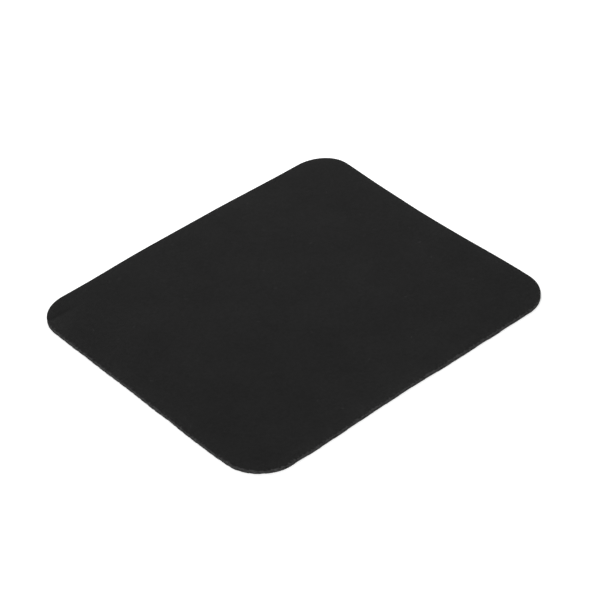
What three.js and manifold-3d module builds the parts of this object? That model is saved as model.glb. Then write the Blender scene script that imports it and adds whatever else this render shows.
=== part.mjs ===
// Cloth-topped mouse pad.
// A woven cloth, a hot-melt bond film and a sponge-rubber base are laminated as one wide sheet,
// the underside of the rubber is embossed with a zigzag tread, and a rounded die cuts the pad out
// through all three layers at once.
// Millimetres, +Z up. The origin is on the desk under the middle of the pad, +X runs along the long
// side and +Y points away from the person who sits at the desk.

import * as THREE from 'three';
import { mergeVertices } from 'three/addons/utils/BufferGeometryUtils.js';
import Module from 'manifold-3d';

// Cutting die
const PAD_WIDTH = 210;
const PAD_DEPTH = 190;
const CORNER_RADIUS = 21;
const CORNER_STEPS = 10;

// Laminate, from the desk upwards
const BASE_THICKNESS = 1.6;
const FILM_THICKNESS = 0.1;
const CLOTH_THICKNESS = 0.5;

// Zigzag tread embossed in the underside of the rubber
const TREAD_PITCH = 6;
const TREAD_DEPTH = 0.2;
const ZIGZAG_RUN = 9;
const ZIGZAG_RISE = 4;
const GROOVE_FLOOR = 1.8;
const GROOVE_DRAFT = THREE.MathUtils.degToRad(45);

// Length by which a cutter passes the face that it opens
const OVERCUT = 0.5;

const FINISHES = {
  cloth: { color: 0x252525, roughness: 0.96, metalness: 0 },
  film: { color: 0x2b2b2c, roughness: 0.6, metalness: 0 },
  rubber: { color: 0x353535, roughness: 0.9, metalness: 0 },
};

const wasm = await Module();
wasm.setup();

// Rounded rectangle that the die stamps, drawn anticlockwise from the front right corner
function dieOutline() {
  const cornerX = PAD_WIDTH / 2 - CORNER_RADIUS;
  const cornerY = PAD_DEPTH / 2 - CORNER_RADIUS;
  const quarter = Math.PI / 2;
  const outline = new THREE.Shape();
  outline.absarc(cornerX, -cornerY, CORNER_RADIUS, -quarter, 0);
  outline.absarc(cornerX, cornerY, CORNER_RADIUS, 0, quarter);
  outline.absarc(-cornerX, cornerY, CORNER_RADIUS, quarter, 2 * quarter);
  outline.absarc(-cornerX, -cornerY, CORNER_RADIUS, 2 * quarter, 3 * quarter);
  outline.closePath();
  return outline;
}

// One layer of the laminate, cut square through by the die
function dieCutLayer(bottom, thickness) {
  const geometry = new THREE.ExtrudeGeometry(dieOutline(), {
    depth: thickness,
    curveSegments: CORNER_STEPS,
    bevelEnabled: false,
  });
  geometry.translate(0, 0, bottom);
  return geometry;
}

// Groove section: flat floor, drafted walls, open at the desk face
function grooveSection() {
  const floorHalf = GROOVE_FLOOR / 2;
  const openHalf = floorHalf + (TREAD_DEPTH + OVERCUT) * Math.tan(GROOVE_DRAFT);
  const section = new THREE.Shape();
  section.moveTo(-openHalf, -OVERCUT);
  section.lineTo(openHalf, -OVERCUT);
  section.lineTo(floorHalf, TREAD_DEPTH);
  section.lineTo(-floorHalf, TREAD_DEPTH);
  section.closePath();
  return section;
}

// Straight groove along X with one step to a run, whose steps are then set forward and back in turn
function zigzagGroove(rowY) {
  const runs = Math.ceil(PAD_WIDTH / ZIGZAG_RUN) + 1;
  const length = runs * ZIGZAG_RUN;
  const geometry = new THREE.ExtrudeGeometry(grooveSection(), {
    depth: length,
    steps: runs,
    bevelEnabled: false,
  });
  const alongX = new THREE.Matrix4().makeBasis(
    new THREE.Vector3(0, 1, 0),
    new THREE.Vector3(0, 0, 1),
    new THREE.Vector3(1, 0, 0),
  );
  geometry.applyMatrix4(alongX);
  const points = geometry.attributes.position;
  for (let i = 0; i < points.count; i += 1) {
    const station = Math.round(points.getX(i) / ZIGZAG_RUN);
    const side = station % 2 === 0 ? -1 : 1;
    points.setY(i, points.getY(i) + side * ZIGZAG_RISE / 2);
  }
  geometry.translate(-length / 2, rowY, 0);
  return geometry;
}

function toSolid(geometry) {
  const bare = geometry.clone();
  bare.deleteAttribute('normal');
  bare.deleteAttribute('uv');
  const merged = mergeVertices(bare);
  return new wasm.Manifold(new wasm.Mesh({
    numProp: 3,
    vertProperties: new Float32Array(merged.attributes.position.array),
    triVerts: new Uint32Array(merged.index.array),
  }));
}

function toGeometry(solid) {
  const mesh = solid.getMesh();
  const geometry = new THREE.BufferGeometry();
  geometry.setAttribute('position', new THREE.BufferAttribute(mesh.vertProperties, mesh.numProp));
  geometry.setIndex(new THREE.BufferAttribute(mesh.triVerts, 1));
  geometry.computeVertexNormals();
  return geometry;
}

// Sponge-rubber base with its tread, which runs out through the cut edge on every side
function rubberBase() {
  let base = toSolid(dieCutLayer(0, BASE_THICKNESS));
  const rows = Math.ceil(PAD_DEPTH / TREAD_PITCH) + 1;
  for (let row = 0; row < rows; row += 1) {
    const rowY = (row - (rows - 1) / 2) * TREAD_PITCH;
    base = base.subtract(toSolid(zigzagGroove(rowY)));
  }
  return toGeometry(base);
}

function piece(name, geometry, finish) {
  const mesh = new THREE.Mesh(geometry, new THREE.MeshStandardMaterial(finish));
  mesh.name = name;
  return mesh;
}

const filmBottom = BASE_THICKNESS;
const clothBottom = filmBottom + FILM_THICKNESS;

const mousePad = new THREE.Group();
mousePad.add(
  piece('rubber_base', rubberBase(), FINISHES.rubber),
  piece('bond_film', dieCutLayer(filmBottom, FILM_THICKNESS), FINISHES.film),
  piece('surface_cloth', dieCutLayer(clothBottom, CLOTH_THICKNESS), FINISHES.cloth),
);

export default mousePad;
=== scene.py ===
"""Looks of a cloth-topped mouse pad.

A fine black cloth, a hair-thin bond film and a sponge-rubber base lie on a white floor.
Metres, +Z up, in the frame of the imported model: +X along the long side, +Y away from the user.
"""

import math

import bmesh
import bpy
from mathutils import Matrix, Vector


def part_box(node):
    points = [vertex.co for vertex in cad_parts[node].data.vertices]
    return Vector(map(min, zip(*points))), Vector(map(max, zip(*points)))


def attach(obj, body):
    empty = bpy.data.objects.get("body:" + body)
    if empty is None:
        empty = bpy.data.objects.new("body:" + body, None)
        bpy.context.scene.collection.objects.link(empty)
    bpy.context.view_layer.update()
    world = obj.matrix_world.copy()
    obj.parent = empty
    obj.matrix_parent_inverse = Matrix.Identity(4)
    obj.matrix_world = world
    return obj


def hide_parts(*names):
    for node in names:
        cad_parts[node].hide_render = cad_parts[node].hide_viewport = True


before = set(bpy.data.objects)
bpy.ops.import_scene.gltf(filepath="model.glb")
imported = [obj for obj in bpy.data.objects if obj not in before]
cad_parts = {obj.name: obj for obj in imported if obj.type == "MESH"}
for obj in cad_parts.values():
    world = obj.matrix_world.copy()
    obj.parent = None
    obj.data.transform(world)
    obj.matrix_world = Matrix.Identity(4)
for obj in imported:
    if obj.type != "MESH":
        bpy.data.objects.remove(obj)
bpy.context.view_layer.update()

MM = 0.001
TINY = 0.01 * MM

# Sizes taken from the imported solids
base_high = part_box("rubber_base")[1]
film_low, film_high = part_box("bond_film")
cloth_low, cloth_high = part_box("surface_cloth")
PAD_WIDTH = cloth_high.x - cloth_low.x
PAD_DEPTH = cloth_high.y - cloth_low.y

# Cutting die, as in the part's source, and the spacing of points round its corners
CORNER_RADIUS = 21 * MM
ARC_STEP = 1.5 * MM

# Grid of the flat middle, and widths of the rings round it, from the cut inward
GRID_STEP = 2 * MM
RIM_RINGS = (0.22 * MM, 0.38 * MM, 0.7 * MM, 1.2 * MM)

# How far the top of the cloth is pressed down, at the cut and at the next two ring lines
ROLL_DROPS = (0.20 * MM, 0.09 * MM, 0.03 * MM)

# Vertices closer to the outline than this lie on the cut, and form the group that its waves move
CUT_BAND = 0.9 * RIM_RINGS[0]
CUT_GROUP = "cut"

# Ragged line of the cut: size and octaves of its waves, their span, and the share that the cloth shows
RAGGED_SCALE = 21 * MM
RAGGED_OCTAVES = 4
RAGGED_REACH = 1.4 * MM
CLOTH_RAGGED = 0.22

# Film edge, set back a little between cloth and rubber
FILM_RECESS = 0.06 * MM

# Zigzag tread, as in the part's source, with its edges rounded
TREAD_PITCH = 6 * MM
TREAD_DEPTH = 0.2 * MM
ZIGZAG_RUN = 9 * MM
ZIGZAG_RISE = 4 * MM
GROOVE_FLOOR = 1.8 * MM
GROOVE_MOUTH = GROOVE_FLOOR + 2 * TREAD_DEPTH
TREAD_ROUNDING = 0.08 * MM
ROUNDING_STEPS = 2

# Cut face of the sponge, drawn in a little at mid height by the die
WALL_ROWS = (0.55 * MM, 0.95 * MM, 1.3 * MM)
WALL_HOLLOW = 0.10 * MM

# How the sheets lie, a little out of true: a lattice over the pad, and the moves of points at its rim
LATTICE_POINTS = 7
LATTICE_LAYERS = 2
RIM_MOVES = {
    (1, 6): Vector((0, -0.6 * MM, 0)),
    (2, 6): Vector((0, 0.7 * MM, 1.0 * MM)),
    (3, 6): Vector((0, 0, 1.4 * MM)),
    (4, 6): Vector((0, 0.5 * MM, 1.1 * MM)),
    (5, 6): Vector((1.0 * MM, 0, 0)),
    (6, 6): Vector((2.8 * MM, -1.4 * MM, 1.3 * MM)),
    (6, 5): Vector((0, 0, 1.8 * MM)),
    (6, 3): Vector((-0.8 * MM, 0, 0)),
    (6, 1): Vector((0.5 * MM, 0, 1.0 * MM)),
    (6, 0): Vector((0, -0.6 * MM, 0)),
    (5, 0): Vector((0, 0.4 * MM, 0)),
    (3, 0): Vector((0, 1.0 * MM, 0)),
    (2, 0): Vector((0, 0.4 * MM, 0)),
    (1, 0): Vector((0, -0.9 * MM, 0)),
    (0, 0): Vector((3.8 * MM, 0.4 * MM, 0)),
    (0, 1): Vector((-1.3 * MM, 0, 0)),
}

# Old fold across the left corner: its ridge, where it starts to rise and how it fades along the pad
FOLD_RIDGE_Y = 83 * MM
FOLD_FOOT_Y = 66 * MM
FOLD_HEIGHT = 0.3 * MM
FOLD_FADE_X = (-92 * MM, -82 * MM)

# Edges flatter than this are shaded smooth, and faces whose normal falls below this are the underside
SMOOTH_ANGLE = math.radians(35)
UNDERSIDE_NORMAL = -0.5

# Finishes: grey, then roughness and specular level
CLOTH_GREY = 0.0148
CLOTH_GLOSS = (0.92, 0.06)
FIBRE_GREY = 0.040
FIBRE_GLOSS = (0.95, 0.1)
FILM_GREY = 0.024
FILM_GLOSS = (0.45, 0.3)
RUBBER_GREY = 0.051
SPONGE_GLOSS = (0.95, 0.12)
SKIN_GLOSS = (0.8, 0.25)
FLOOR_GLOSS = (1, 0)

# Values between which most of a noise lies
NOISE_SPAN = (0.3, 0.7)

# Weave of the cloth: its threads, how they wander, and its painted shade and light, from dark hollows
# to pale crowns
THREAD_PITCH = 0.45 * MM
THREAD_RELIEF = 0.05 * MM
THREAD_WANDER = 0.3 * MM
WANDER_SIZE = 5 * MM
WEAVE_SPAN = (0.6, 2)
WEAVE_PAINTED_SHADING = (0.7, 1.12)
CLOTH_SHEEN = 0.03
CLOTH_SHEEN_ROUGHNESS = 0.4

# Mottle of the cloth, fine and broad
MOTTLE_SIZE = 1.6 * MM
MOTTLE_SHADES = (0.88, 1.12)
CLOUD_SIZE = 28 * MM
CLOUD_SHADES = (0.91, 1.09)

# Old fold: painted light on its rise, and painted shade along the crease and past it
PAINTED_RISE_LIGHT = 0.28
PAINTED_CREASE_SHADE = 0.4
CREASE_WIDTH = 4.5 * MM
PAINTED_PAST_CREASE_SHADE = 0.1

# Paler band along the rim of the cloth: its gain of light from ruffle to ruffle, and how far in it
# reaches
RIM_GAINS = (-0.05, 0.4)
RIM_REACH = 10 * MM

# Frayed cut: how far in the pale thread ends reach, how fast they fade, their size and gain of light
FRAY_REACH = 1.3 * MM
FRAY_FADE = 0.25 * MM
FRAY_SIZE = 1.2 * MM
FRAY_SPAN = (0.42, 0.68)
FRAY_GAIN = 2.1

# Broad paler patch along the user's side: its middle, half sizes and gain of light
PALE_PATCH_MIDDLE = (-10 * MM, -86 * MM, 0)
PALE_PATCH_HALF = (78 * MM, 42 * MM, 1)
PALE_PATCH_GAIN = 0.15

# Lint: spacing of the places for a fibre and the share that hold one, a fibre's half sizes,
# the share of it that is palest, and the most light that it gains
LINT_SPACING = 14 * MM
LINT_SHARE = 0.45
LINT_HALF_LENGTH = 1.2 * MM
LINT_HALF_WIDTH = 0.2 * MM
LINT_CORE = 0.6
LINT_GAIN = 1.7

# Cut edges: thread ends, film and open pores, each with its size and shades, the pores with painted
# shade in their hollows, and the patches on them
THREAD_END_SIZE = 0.35 * MM
THREAD_END_SHADES = (0.7, 1.3)
THREAD_END_RELIEF = 0.08 * MM
FILM_WAVE_SIZE = 2 * MM
FILM_SHADES = (0.8, 1.2)
PORE_SIZE = 0.34 * MM
PORE_SPAN = (0.1, 0.6)
PORE_PAINTED_SHADING = (1.25, 0.75)
PORE_RELIEF = 0.12 * MM
SPONGE_PATCH_SIZE = 1.7 * MM
CUT_PATCH_SPAN = (0.35, 0.65)
CUT_PATCH_SHADES = (0.55, 1.45)

# Moulded skin of the rubber: its grain and its patches
GRAIN_SIZE = 0.5 * MM
GRAIN_SHADES = (0.62, 0.78)
GRAIN_RELIEF = 0.06 * MM
SKIN_PATCH_SIZE = 9 * MM
SKIN_PATCH_SHADES = (0.9, 1.1)

# Camera at the photograph's viewing angle
CAMERA_AZIMUTH = math.radians(-37.73)
CAMERA_ELEVATION = math.radians(38.65)
CAMERA_ROLL = math.radians(-4.92)
CAMERA_DISTANCE = 1222.1 * MM
CAMERA_TARGET = Vector((6.42 * MM, 1.16 * MM, 0))
CAMERA_LENS = 135.85
CAMERA_SENSOR = 36

# Light: the evenly lit room, and two soft boxes as place, side and watts
ROOM_LEVEL = 0.34
TOP_BOX = (Vector((0.12, 0.22, 0.42)), 0.3, 1.25)
FRONT_BOX = (Vector((-1.85, -1.35, 1.9)), 1.5, 41)

# White floor: its side and colour, and its glow as a background over a span of distances from the pad
FLOOR_SIDE = 12
FLOOR_COLOUR = 0.92
FLOOR_GLOW = (0.45, 0.75)
FLOOR_GLOW_SPAN = (0.3, 1.8)


# Small tools for working as by hand

def deselect_all():
    bpy.ops.object.select_all(action="DESELECT")


def make_active(piece):
    deselect_all()
    piece.select_set(True)
    bpy.context.view_layer.objects.active = piece


def start_editing(piece, kind):
    make_active(piece)
    bpy.ops.object.mode_set(mode="EDIT")
    bpy.ops.mesh.select_mode(type=kind)


def stop_editing():
    bpy.ops.object.mode_set(mode="OBJECT")


def pick(piece, kind, wanted):
    """Selects just the vertices, edges or faces for which wanted() is true."""
    bpy.ops.mesh.select_all(action="DESELECT")
    mesh = bmesh.from_edit_mesh(piece.data)
    for element in getattr(mesh, kind):
        if not element.hide and wanted(element):
            element.select_set(True)
    mesh.select_flush_mode()
    bmesh.update_edit_mesh(piece.data)


def close_and_face_out(height):
    """Extrudes the open sheet that is being edited to a closed solid, and turns its faces out."""
    bpy.ops.mesh.select_all(action="SELECT")
    bpy.ops.mesh.extrude_region_move(TRANSFORM_OT_translate={"value": (0, 0, height)})
    bpy.ops.mesh.select_all(action="SELECT")
    bpy.ops.mesh.normals_make_consistent(inside=False)


def apply_modifier(piece, modifier):
    make_active(piece)
    bpy.ops.object.modifier_apply(modifier=modifier.name)


def smooth_step(low, high, value):
    share = min(max((value - low) / (high - low), 0), 1)
    return share * share * (3 - 2 * share)


def inset_of(x, y):
    """Distance inward from the die's outline."""
    out_x = abs(x) - (PAD_WIDTH / 2 - CORNER_RADIUS)
    out_y = abs(y) - (PAD_DEPTH / 2 - CORNER_RADIUS)
    outside = math.hypot(max(out_x, 0), max(out_y, 0))
    return CORNER_RADIUS - outside - min(max(out_x, out_y), 0)


# Sheets cut by the die

def straight_steps(length):
    """The straight run of a side, and how many equal steps of about GRID_STEP it has."""
    run = length - 2 * CORNER_RADIUS
    return run, round(run / GRID_STEP)


def die_face(name, height):
    """Flat face of the die's outline, with points along its arcs and straight runs."""
    deselect_all()
    bpy.ops.mesh.primitive_plane_add(size=1, location=(0, 0, height))
    piece = bpy.context.object
    piece.name = name
    piece.data.name = name
    piece.scale = (PAD_WIDTH, PAD_DEPTH, 1)
    bpy.ops.object.transform_apply(location=True, rotation=True, scale=True)
    start_editing(piece, "VERT")
    bpy.ops.mesh.select_all(action="SELECT")
    arc_steps = round(CORNER_RADIUS * math.pi / 2 / ARC_STEP)
    bpy.ops.mesh.bevel(offset=CORNER_RADIUS, segments=arc_steps, affect="VERTICES")
    bpy.ops.mesh.select_mode(type="EDGE")
    for length, axis in ((PAD_WIDTH, 0), (PAD_DEPTH, 1)):
        run, steps = straight_steps(length)
        pick(piece, "edges", lambda edge: abs((edge.verts[0].co - edge.verts[1].co)[axis]) > run / 2)
        bpy.ops.mesh.subdivide(number_cuts=steps - 1)
    stop_editing()
    return piece


def cut_grid():
    """Cuts the selected big face into squares that meet the points of the rim."""
    bpy.ops.mesh.hide(unselected=True)
    for length, normal in ((PAD_WIDTH, Vector((1, 0, 0))), (PAD_DEPTH, Vector((0, 1, 0)))):
        run, steps = straight_steps(length)
        step = run / steps
        spare = int(CORNER_RADIUS / step)
        for line in range(-spare, steps + spare + 1):
            bpy.ops.mesh.select_all(action="SELECT")
            bpy.ops.mesh.bisect(plane_co=normal * (line * step - run / 2), plane_no=normal)
    bpy.ops.mesh.reveal()


def ringed_sheet(name, height):
    """Open sheet with rings round its rim, a grid in its middle and no face of many corners."""
    sheet = die_face(name, height)
    start_editing(sheet, "FACE")
    bpy.ops.mesh.select_all(action="SELECT")
    for ring in RIM_RINGS:
        bpy.ops.mesh.inset(thickness=ring)
    cut_grid()
    pick(sheet, "faces", lambda face: len(face.verts) > 4)
    bpy.ops.mesh.quads_convert_to_tris(ngon_method="BEAUTY")
    stop_editing()
    return sheet


def copy_of(piece, name):
    make_active(piece)
    bpy.ops.object.duplicate()
    copy = bpy.context.object
    copy.name = name
    copy.data.name = name
    return copy


def cloth_sheet(blank):
    """The cloth, its top pressed down along the cut."""
    start_editing(blank, "VERT")
    close_and_face_out(cloth_low.z - cloth_high.z)
    inset = 0
    for ring, drop in zip((0, *RIM_RINGS), ROLL_DROPS):
        inset += ring
        pick(
            blank,
            "verts",
            lambda v: v.co.z > cloth_high.z - TINY and abs(inset_of(v.co.x, v.co.y) - inset) < TINY,
        )
        bpy.ops.transform.translate(value=(0, 0, -drop))
    stop_editing()
    return blank


def film_sheet(blank):
    """The film under the cloth, its cut edge a hair short of its neighbours'."""
    start_editing(blank, "VERT")
    bpy.ops.mesh.select_all(action="SELECT")
    bpy.ops.transform.translate(value=(0, 0, film_high.z - cloth_high.z))
    shrink_x = 1 - 2 * FILM_RECESS / PAD_WIDTH
    shrink_y = 1 - 2 * FILM_RECESS / PAD_DEPTH
    bpy.ops.transform.resize(value=(shrink_x, shrink_y, 1), center_override=(0, 0, film_high.z))
    close_and_face_out(film_low.z - film_high.z)
    stop_editing()
    return blank


# Sponge base with its tread

def tread_tile(name):
    """One run of one groove, its walls drafted and its edges rounded."""
    deselect_all()
    bpy.ops.mesh.primitive_plane_add(size=1)
    tile = bpy.context.object
    tile.name = name
    tile.data.name = name
    tile.scale = (ZIGZAG_RUN, TREAD_PITCH, 1)
    bpy.ops.object.transform_apply(location=False, rotation=False, scale=True)
    start_editing(tile, "FACE")
    for y in (-GROOVE_MOUTH / 2, -GROOVE_FLOOR / 2, GROOVE_FLOOR / 2, GROOVE_MOUTH / 2):
        bpy.ops.mesh.select_all(action="SELECT")
        bpy.ops.mesh.bisect(plane_co=(0, y, 0), plane_no=(0, 1, 0))
    pick(tile, "faces", lambda face: abs(face.calc_center_median().y) < GROOVE_FLOOR / 2 - TINY)
    bpy.ops.transform.translate(value=(0, 0, TREAD_DEPTH))
    bpy.ops.mesh.select_mode(type="EDGE")
    pick(tile, "edges", lambda edge: len(edge.link_faces) == 2)
    bpy.ops.mesh.bevel(offset=TREAD_ROUNDING, segments=ROUNDING_STEPS, affect="EDGES")
    bpy.ops.mesh.select_mode(type="VERT")
    for side in (-1, 1):
        pick(tile, "verts", lambda v: v.co.x * side > ZIGZAG_RUN / 4)
        bpy.ops.transform.translate(value=(0, side * ZIGZAG_RISE / 2, 0))
    stop_editing()
    return tile


def repeat(piece, count, step):
    array = piece.modifiers.new("repeat", "ARRAY")
    array.use_relative_offset = False
    array.use_constant_offset = True
    array.constant_offset_displace = step
    array.count = count
    array.use_merge_vertices = True
    array.merge_threshold = TINY
    apply_modifier(piece, array)


def tread_sheet(name):
    """Embossed sheet, wider than the pad on every side."""
    sheet = tread_tile(name)
    runs = math.ceil(PAD_WIDTH / ZIGZAG_RUN) + 1
    rows = math.ceil(PAD_DEPTH / TREAD_PITCH) + 1
    start_editing(sheet, "VERT")
    bpy.ops.mesh.select_all(action="SELECT")
    bpy.ops.transform.translate(value=(ZIGZAG_RUN / 2, 0, 0))
    stop_editing()
    mirror = sheet.modifiers.new("return run", "MIRROR")
    mirror.merge_threshold = TINY
    apply_modifier(sheet, mirror)
    repeat(sheet, math.ceil(runs / 2), (2 * ZIGZAG_RUN, 0, 0))
    repeat(sheet, rows, (0, TREAD_PITCH, 0))
    start_editing(sheet, "VERT")
    bpy.ops.mesh.select_all(action="SELECT")
    shift_x = ZIGZAG_RUN - runs * ZIGZAG_RUN / 2
    shift_y = -(rows - 1) / 2 * TREAD_PITCH
    bpy.ops.transform.translate(value=(shift_x, shift_y, 0))
    bpy.ops.mesh.extrude_region_move(TRANSFORM_OT_translate={"value": (0, 0, base_high.z)})
    bpy.ops.transform.resize(value=(1, 1, 0), center_override=(0, 0, base_high.z))
    bpy.ops.mesh.select_all(action="SELECT")
    bpy.ops.mesh.normals_make_consistent(inside=False)
    stop_editing()
    return sheet


def sponge_base(name):
    """Embossed sheet cut out by the die, with a slightly hollow cut face."""
    base = tread_sheet(name)
    # The die passes the sheet by one thickness, below and above
    die = die_face("die", -base_high.z)
    start_editing(die, "FACE")
    close_and_face_out(3 * base_high.z)
    stop_editing()
    cut = base.modifiers.new("die cut", "BOOLEAN")
    cut.operation = "INTERSECT"
    cut.solver = "EXACT"
    cut.object = die
    apply_modifier(base, cut)
    bpy.data.objects.remove(die)
    start_editing(base, "EDGE")
    for row in WALL_ROWS:
        bpy.ops.mesh.select_all(action="SELECT")
        bpy.ops.mesh.bisect(plane_co=(0, 0, row), plane_no=(0, 0, 1))
    bpy.ops.mesh.select_mode(type="VERT")
    pick(base, "verts", lambda v: WALL_ROWS[0] - TINY < v.co.z < WALL_ROWS[-1] + TINY)
    bpy.ops.transform.shrink_fatten(value=-WALL_HOLLOW)
    stop_editing()
    return base


# How the finished sheets lie

def ragged_noise():
    noise = bpy.data.textures.new("ragged cut", "CLOUDS")
    noise.noise_scale = RAGGED_SCALE
    noise.noise_depth = RAGGED_OCTAVES
    noise.noise_basis = "IMPROVED_PERLIN"
    return noise


def roughen_cut(piece, noise):
    """Makes the cut line wander, most at the foot of the rubber and the same way in every layer."""
    rim = piece.vertex_groups.new(name=CUT_GROUP)
    for vertex in piece.data.vertices:
        if inset_of(vertex.co.x, vertex.co.y) < CUT_BAND:
            foot_share = max(0, 1 - vertex.co.z / base_high.z)
            rim.add([vertex.index], CLOTH_RAGGED + (1 - CLOTH_RAGGED) * foot_share, "REPLACE")
    for axis in ("X", "Y"):
        modifier = piece.modifiers.new("ragged", "DISPLACE")
        modifier.texture = noise
        modifier.texture_coords = "LOCAL"
        modifier.direction = axis
        modifier.strength = RAGGED_REACH
        modifier.mid_level = 0.5
        modifier.vertex_group = CUT_GROUP
        apply_modifier(piece, modifier)


def lying_lattice():
    deselect_all()
    bpy.ops.object.add(type="LATTICE", location=(0, 0, cloth_high.z / 2))
    lattice = bpy.context.object
    lattice.scale = (PAD_WIDTH, PAD_DEPTH, cloth_high.z)
    lattice.data.points_u = LATTICE_POINTS
    lattice.data.points_v = LATTICE_POINTS
    lattice.data.points_w = LATTICE_LAYERS
    for (column, row), move in RIM_MOVES.items():
        for layer in range(LATTICE_LAYERS):
            index = (layer * LATTICE_POINTS + row) * LATTICE_POINTS + column
            for axis in range(3):
                lattice.data.points[index].co_deform[axis] += move[axis] / lattice.scale[axis]
    return lattice


def lay_down(piece, lattice):
    """Bends a flat sheet to the way the pad lies, and raises the old fold across its left corner."""
    modifier = piece.modifiers.new("lie", "LATTICE")
    modifier.object = lattice
    apply_modifier(piece, modifier)
    far_y = PAD_DEPTH / 2
    for vertex in piece.data.vertices:
        x, y = vertex.co.x, vertex.co.y
        if y > FOLD_FOOT_Y and x < FOLD_FADE_X[1]:
            rise = smooth_step(FOLD_FOOT_Y, FOLD_RIDGE_Y, y)
            fall = min(1, max(0, far_y - y) / (far_y - FOLD_RIDGE_Y))
            vertex.co.z += FOLD_HEIGHT * min(rise, fall) * (1 - smooth_step(*FOLD_FADE_X, x))
    piece.data.update()


# Finishes

class Finish:
    """One material, with short calls for the nodes that its grain is made of."""

    def __init__(self, name, roughness, specular):
        self.material = bpy.data.materials.new(name)
        self.material.use_nodes = True
        self.nodes = self.material.node_tree.nodes
        self.links = self.material.node_tree.links
        self.shader = self.nodes["Principled BSDF"]
        self.shader.inputs["Roughness"].default_value = roughness
        self.shader.inputs["Specular IOR Level"].default_value = specular
        self.place = self.nodes.new("ShaderNodeTexCoord").outputs["Object"]

    def feed(self, socket, value):
        if isinstance(value, bpy.types.NodeSocket):
            self.links.new(value, socket)
        else:
            socket.default_value = value

    def math(self, operation, first, second=0.0):
        node = self.nodes.new("ShaderNodeMath")
        node.operation = operation
        self.feed(node.inputs[0], first)
        self.feed(node.inputs[1], second)
        return node.outputs[0]

    def vector(self, operation, *values):
        node = self.nodes.new("ShaderNodeVectorMath")
        node.operation = operation
        for socket, value in zip(node.inputs, values):
            self.feed(socket, value)
        return node.outputs["Value" if operation == "LENGTH" else "Vector"]

    def scaled(self, size, place=None):
        """The place on the piece, counted in steps of size."""
        return self.vector("MULTIPLY", place or self.place, (1 / size, 1 / size, 1 / size))

    def noise(self, size, detail=2.0):
        node = self.nodes.new("ShaderNodeTexNoise")
        self.feed(node.inputs["Vector"], self.scaled(size))
        node.inputs["Scale"].default_value = 1
        node.inputs["Detail"].default_value = detail
        return node

    def cells(self, size, dimensions="3D"):
        node = self.nodes.new("ShaderNodeTexVoronoi")
        node.voronoi_dimensions = dimensions
        self.feed(node.inputs["Vector"], self.scaled(size))
        node.inputs["Scale"].default_value = 1
        return node

    def spread(self, value, low, high, out_low, out_high, interpolation="LINEAR"):
        node = self.nodes.new("ShaderNodeMapRange")
        node.interpolation_type = interpolation
        self.feed(node.inputs["Value"], value)
        node.inputs["From Min"].default_value = low
        node.inputs["From Max"].default_value = high
        node.inputs["To Min"].default_value = out_low
        node.inputs["To Max"].default_value = out_high
        return node.outputs["Result"]

    def shade(self, value, span, shades, grey=1.0):
        """A grey, or a share of one, that goes from shade to shade as a pattern crosses its span."""
        return self.spread(value, *span, grey * shades[0], grey * shades[1])

    def colour(self, *shares):
        """Neutral colour, as the product of a grey and of the shares that vary it."""
        grey = shares[0]
        for share in shares[1:]:
            grey = self.math("MULTIPLY", grey, share)
        self.feed(self.shader.inputs["Base Color"], grey)

    def bump(self, height, depth):
        node = self.nodes.new("ShaderNodeBump")
        node.inputs["Distance"].default_value = depth
        self.feed(node.inputs["Height"], height)
        self.feed(self.shader.inputs["Normal"], node.outputs["Normal"])


def painted_fold_light_and_shade(finish, place):
    """Painted light and shade near the old fold: lighter on its rise, darker along the crease and past
    it.
    """
    axes = finish.nodes.new("ShaderNodeSeparateXYZ")
    finish.feed(axes.inputs[0], place)
    past = finish.math("SUBTRACT", axes.outputs["Y"], FOLD_RIDGE_Y)
    rise = finish.spread(past, FOLD_FOOT_Y - FOLD_RIDGE_Y, 0, 0, 1)
    line = finish.spread(finish.math("ABSOLUTE", past), 0, CREASE_WIDTH / 2, PAINTED_CREASE_SHADE, 0)
    strip = finish.spread(past, -CREASE_WIDTH / 2, CREASE_WIDTH / 2, -PAINTED_RISE_LIGHT, PAINTED_PAST_CREASE_SHADE)
    near = finish.spread(axes.outputs["X"], *FOLD_FADE_X, 1, 0)
    across = finish.math("ADD", line, finish.math("MULTIPLY", rise, strip))
    return finish.math("SUBTRACT", 1, finish.math("MULTIPLY", near, across))


def mark_inset(piece):
    """Notes on every vertex its distance inward from the cut."""
    inset = piece.data.attributes.new("inset", "FLOAT", "POINT")
    for vertex, mark in zip(piece.data.vertices, inset.data):
        mark.value = inset_of(vertex.co.x, vertex.co.y)


def rim_shade(finish):
    """Gain of light by the cut: a paler band along the rim, and pale thread ends that reach in
    unevenly.
    """
    attribute = finish.nodes.new("ShaderNodeAttribute")
    attribute.attribute_name = "inset"
    inset = attribute.outputs["Fac"]
    tufts = finish.noise(FRAY_SIZE).outputs["Fac"]
    nearness = finish.spread(inset, 0, RIM_REACH, 1, 0)
    paler_band = finish.math("MULTIPLY", nearness, finish.shade(tufts, NOISE_SPAN, RIM_GAINS))
    past_ends = finish.math("SUBTRACT", inset, finish.spread(tufts, *FRAY_SPAN, 0, FRAY_REACH))
    frayed = finish.spread(past_ends, -FRAY_FADE, 0, FRAY_GAIN, 1)
    return finish.math("MULTIPLY", finish.math("ADD", paler_band, 1), frayed)


def pale_patch_shade(finish):
    """Gain of light on the broad paler patch along the user's side."""
    patch = finish.nodes.new("ShaderNodeMapping")
    patch.vector_type = "TEXTURE"
    patch.inputs["Location"].default_value = PALE_PATCH_MIDDLE
    patch.inputs["Scale"].default_value = PALE_PATCH_HALF
    finish.feed(patch.inputs["Vector"], finish.place)
    reach = finish.vector("LENGTH", patch.outputs["Vector"])
    return finish.spread(reach, 0, 1, 1 + PALE_PATCH_GAIN, 1, "SMOOTHSTEP")


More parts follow.
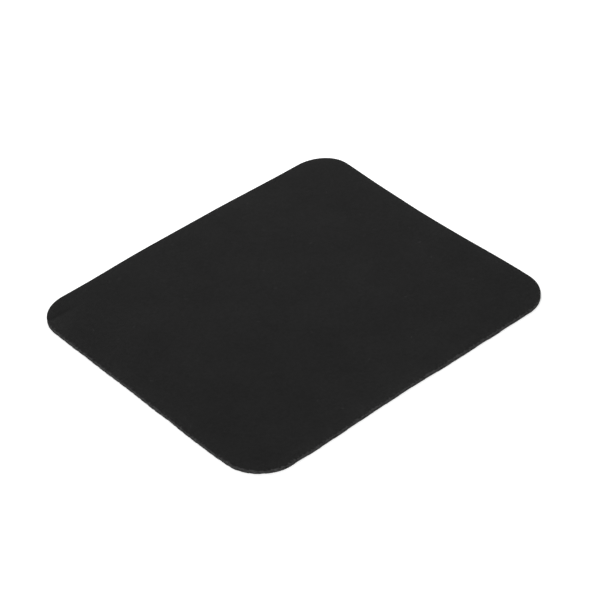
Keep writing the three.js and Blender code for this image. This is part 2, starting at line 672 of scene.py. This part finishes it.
def lint_shade(finish):
    """Gain of light on short fibres of lint, each turned its own way and pale in its own measure."""
    spots = finish.cells(LINT_SPACING, "2D")
    dice = finish.nodes.new("ShaderNodeSeparateColor")
    finish.feed(dice.inputs["Color"], spots.outputs["Color"])
    turn = finish.nodes.new("ShaderNodeVectorRotate")
    turn.rotation_type = "Z_AXIS"
    offset = finish.vector("SUBTRACT", finish.scaled(LINT_SPACING), spots.outputs["Position"])
    finish.feed(turn.inputs["Vector"], offset)
    finish.feed(turn.inputs["Angle"], finish.math("MULTIPLY", dice.outputs["Red"], math.pi))
    stretch = (LINT_SPACING / LINT_HALF_LENGTH, LINT_SPACING / LINT_HALF_WIDTH, 0)
    reach = finish.vector("LENGTH", finish.vector("MULTIPLY", turn.outputs["Vector"], stretch))
    fade = finish.spread(reach, LINT_CORE, 1, LINT_GAIN, 0)
    gain = finish.math("MULTIPLY", fade, dice.outputs["Blue"])
    present = finish.math("LESS_THAN", dice.outputs["Green"], LINT_SHARE)
    return finish.math("ADD", finish.math("MULTIPLY", present, gain), 1)


def black_cloth():
    """Plain weave of fine thread, a little uneven, with painted shade in its hollows, a faint mottle
    and a few specks of lint.
    """
    finish = Finish("black cloth", *CLOTH_GLOSS)
    slack = finish.noise(WANDER_SIZE).outputs["Color"]
    wander = finish.vector("MULTIPLY_ADD", slack, (THREAD_WANDER, THREAD_WANDER, 0), finish.place)
    threads = finish.nodes.new("ShaderNodeSeparateXYZ")
    finish.feed(threads.inputs[0], finish.scaled(THREAD_PITCH / math.pi, wander))
    warp = finish.math("SINE", threads.outputs["X"])
    weft = finish.math("SINE", threads.outputs["Y"])
    crossing = finish.math("MULTIPLY", warp, weft)
    warp_top = finish.math("ADD", finish.math("ABSOLUTE", warp), crossing)
    weft_top = finish.math("SUBTRACT", finish.math("ABSOLUTE", weft), crossing)
    weave = finish.math("MAXIMUM", warp_top, weft_top)
    mottle = finish.noise(MOTTLE_SIZE, detail=3).outputs["Fac"]
    cloud = finish.noise(CLOUD_SIZE, detail=3).outputs["Fac"]
    finish.colour(
        # painted shade in the hollows of the weave, painted light on its crowns
        finish.shade(weave, WEAVE_SPAN, WEAVE_PAINTED_SHADING, CLOTH_GREY),
        finish.shade(mottle, NOISE_SPAN, MOTTLE_SHADES),
        finish.shade(cloud, NOISE_SPAN, CLOUD_SHADES),
        # painted light and shade at the old fold
        painted_fold_light_and_shade(finish, wander),
        rim_shade(finish),
        pale_patch_shade(finish),
        lint_shade(finish),
    )
    finish.bump(finish.math("ADD", weave, mottle), THREAD_RELIEF)
    finish.shader.inputs["Sheen Weight"].default_value = CLOTH_SHEEN
    finish.shader.inputs["Sheen Roughness"].default_value = CLOTH_SHEEN_ROUGHNESS
    return finish.material


def cut_fibre():
    """Thread ends along the cut of the cloth."""
    finish = Finish("cut fibre", *FIBRE_GLOSS)
    ends = finish.noise(THREAD_END_SIZE, detail=3).outputs["Fac"]
    tufts = finish.noise(FRAY_SIZE).outputs["Fac"]
    finish.colour(
        finish.shade(ends, NOISE_SPAN, THREAD_END_SHADES, FIBRE_GREY),
        finish.shade(tufts, CUT_PATCH_SPAN, CUT_PATCH_SHADES),
    )
    finish.bump(ends, THREAD_END_RELIEF)
    return finish.material


def melted_film():
    finish = Finish("melted film", *FILM_GLOSS)
    waves = finish.noise(FILM_WAVE_SIZE).outputs["Fac"]
    finish.colour(finish.shade(waves, NOISE_SPAN, FILM_SHADES, FILM_GREY))
    return finish.material


def cut_sponge():
    """Open cells of the rubber where the die went through."""
    finish = Finish("cut sponge", *SPONGE_GLOSS)
    pores = finish.cells(PORE_SIZE).outputs["Distance"]
    patches = finish.noise(SPONGE_PATCH_SIZE).outputs["Fac"]
    finish.colour(
        # painted shade in the hollows between the cut cells, lighter on their crowns
        finish.shade(pores, PORE_SPAN, PORE_PAINTED_SHADING, RUBBER_GREY),
        finish.shade(patches, CUT_PATCH_SPAN, CUT_PATCH_SHADES),
    )
    finish.bump(finish.math("SUBTRACT", 1, pores), PORE_RELIEF)
    return finish.material


def moulded_rubber():
    """Skin of the rubber on its embossed underside."""
    finish = Finish("moulded rubber", *SKIN_GLOSS)
    grain = finish.noise(GRAIN_SIZE, detail=4).outputs["Fac"]
    patches = finish.noise(SKIN_PATCH_SIZE, detail=3).outputs["Fac"]
    finish.colour(
        finish.shade(grain, NOISE_SPAN, GRAIN_SHADES, RUBBER_GREY),
        finish.shade(patches, NOISE_SPAN, SKIN_PATCH_SHADES),
    )
    finish.bump(grain, GRAIN_RELIEF)
    return finish.material


def paint(piece, face_finish, cut_finish):
    """Gives a sheet one finish on its faces and another round its cut."""
    piece.data.materials.append(face_finish)
    piece.data.materials.append(cut_finish)
    for face in piece.data.polygons:
        on_rim = inset_of(face.center.x, face.center.y) < RIM_RINGS[0]
        face.material_index = 1 if on_rim and face.normal.z > UNDERSIDE_NORMAL else 0


# Stage, light and camera

def background_rays(tree):
    """1 for the rays that meet a white background: from the camera, mirrored or through glass."""
    path = tree.nodes.new("ShaderNodeLightPath")
    seen = path.outputs["Is Camera Ray"]
    for kind in ("Is Glossy Ray", "Is Transmission Ray"):
        either = tree.nodes.new("ShaderNodeMath")
        either.operation = "MAXIMUM"
        tree.links.new(seen, either.inputs[0])
        tree.links.new(path.outputs[kind], either.inputs[1])
        seen = either.outputs[0]
    return seen


def white_floor():
    """Floor that keeps the pad's shadow and glows only as a background."""
    deselect_all()
    bpy.ops.mesh.primitive_plane_add(size=FLOOR_SIDE, location=(0, 0, -TINY))
    floor = bpy.context.object
    floor.name = "floor"
    finish = Finish("white floor", *FLOOR_GLOSS)
    finish.shader.inputs["Base Color"].default_value = (FLOOR_COLOUR, FLOOR_COLOUR, FLOOR_COLOUR, 1)
    finish.shader.inputs["Emission Color"].default_value = (1, 1, 1, 1)
    seen = background_rays(finish.material.node_tree)
    glow = finish.spread(finish.vector("LENGTH", finish.place), *FLOOR_GLOW_SPAN, *FLOOR_GLOW)
    finish.feed(finish.shader.inputs["Emission Strength"], finish.math("MULTIPLY", seen, glow))
    floor.data.materials.append(finish.material)


def lit_room():
    """Even white light all round, and white where the camera sees past the floor."""
    world = bpy.data.worlds.new("room")
    bpy.context.scene.world = world
    world.use_nodes = True
    nodes = world.node_tree.nodes
    links = world.node_tree.links
    background = nodes["Background"]
    background.inputs["Color"].default_value = (1, 1, 1, 1)
    level = nodes.new("ShaderNodeMapRange")
    level.inputs["To Min"].default_value = ROOM_LEVEL
    level.inputs["To Max"].default_value = 1
    links.new(background_rays(world.node_tree), level.inputs["Value"])
    links.new(level.outputs["Result"], background.inputs["Strength"])


def soft_box(name, place, side, watts):
    """Square lamp that faces the middle of the pad."""
    deselect_all()
    bpy.ops.object.light_add(type="AREA", location=place)
    lamp = bpy.context.object
    lamp.name = name
    lamp.data.shape = "SQUARE"
    lamp.data.size = side
    lamp.data.energy = watts
    lamp.rotation_euler = (-place).to_track_quat("-Z", "Y").to_euler()


def photo_camera():
    back = Vector((
        math.sin(CAMERA_AZIMUTH) * math.cos(CAMERA_ELEVATION),
        -math.cos(CAMERA_AZIMUTH) * math.cos(CAMERA_ELEVATION),
        math.sin(CAMERA_ELEVATION),
    ))
    deselect_all()
    bpy.ops.object.camera_add(location=CAMERA_TARGET + back * CAMERA_DISTANCE)
    camera = bpy.context.object
    level = (-back).to_track_quat("-Z", "Y").to_matrix()
    camera.rotation_euler = (level @ Matrix.Rotation(CAMERA_ROLL, 3, "Z")).to_euler()
    camera.data.lens = CAMERA_LENS
    camera.data.sensor_width = CAMERA_SENSOR
    bpy.context.scene.camera = camera


bpy.context.scene.view_settings.view_transform = "Standard"
photo_camera()
lit_room()
soft_box("top_box", *TOP_BOX)
soft_box("front_box", *FRONT_BOX)
white_floor()

# The three sheets, cut flat
cloth_blank = ringed_sheet("cloth_sheet", cloth_high.z)
film = film_sheet(copy_of(cloth_blank, "film_sheet"))
cloth = cloth_sheet(cloth_blank)
base = sponge_base("sponge_base")

# Their finishes, given while they are flat and the cut is easy to find
mark_inset(cloth)
paint(cloth, black_cloth(), cut_fibre())
paint(base, moulded_rubber(), cut_sponge())
film.data.materials.append(melted_film())

# The way they lie
lattice = lying_lattice()
noise = ragged_noise()
for sheet in (cloth, film, base):
    roughen_cut(sheet, noise)
    lay_down(sheet, lattice)
    make_active(sheet)
    bpy.ops.object.shade_smooth_by_angle(angle=SMOOTH_ANGLE)
bpy.data.objects.remove(lattice)

# The solids that they stand for
for sheet, node, slot in (
    (cloth, "surface_cloth", "woven_cloth"),
    (film, "bond_film", "hot_melt_film"),
    (base, "rubber_base", "sponge_rubber"),
):
    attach(sheet, "root")
    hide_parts(node)
